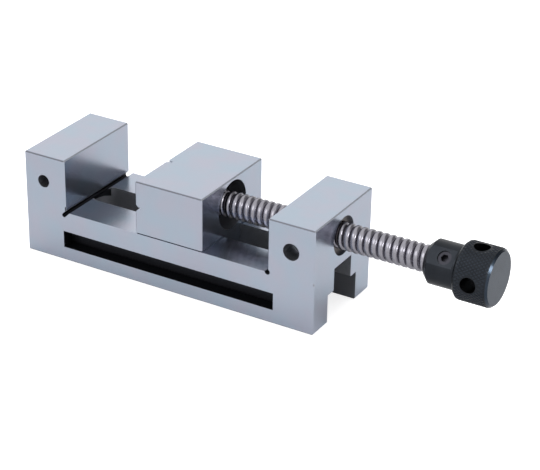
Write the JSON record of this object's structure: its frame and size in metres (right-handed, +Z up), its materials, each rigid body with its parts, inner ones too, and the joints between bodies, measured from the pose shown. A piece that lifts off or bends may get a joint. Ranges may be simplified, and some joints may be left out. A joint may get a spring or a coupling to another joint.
{
  "type": "precision vise",
  "caption": "Ground steel toolmaker's screw vise: one-piece base with fixed jaw and end block, sliding jaw with crossed V grooves, lead screw and knurled knob.",
  "frame": {"origin": "on the table under the middle of the whole vise, from the fixed jaw's outer face to the knob's end", "axes": "+X along the vise from the fixed jaw towards the knob, +Y across it away from the tapped side hole, +Z up"},
  "size_m": [0.2194, 0.05, 0.049],
  "materials": {
    "ground_steel": "surface ground, bright",
    "screw_steel": "turned, bright",
    "blackened_steel": "black oxide, oiled",
    "fastener_steel": "dark oxide",
    "bush_steel": "hardened and ground",
    "nut_bronze": "bearing bronze, machined"
  },
  "bodies": {
    "base": {"vise_body": "ground_steel", "screw_nut": "nut_bronze", "nut_lock_screw": "fastener_steel"},
    "jaw": {"moving_jaw": "ground_steel", "keeper_plate": "ground_steel", "keeper_screws": "fastener_steel", "keeper_washers": "fastener_steel", "thrust_bush": "bush_steel", "bore_circlip": "fastener_steel"},
    "screw": {"lead_screw": "screw_steel", "nose_circlip": "fastener_steel", "knob": "blackened_steel", "knob_set_screw": "fastener_steel"}
  },
  "joints": [
    {"name": "jaw_slide", "type": "slide", "parent": "base", "child": "jaw", "axis": [1, 0, 0], "range_m": [-0.0374, 0.0324]},
    {"name": "screw_spin", "type": "hinge", "parent": "jaw", "child": "screw", "pos_m": [0, 0, 0.0365], "axis": [1, 0, 0], "range_deg": [-4150, 3595]}
  ],
  "couplings": [
    {"joint": "screw_spin", "follows": "jaw_slide", "rad_per_m": 1933.3}
  ]
}
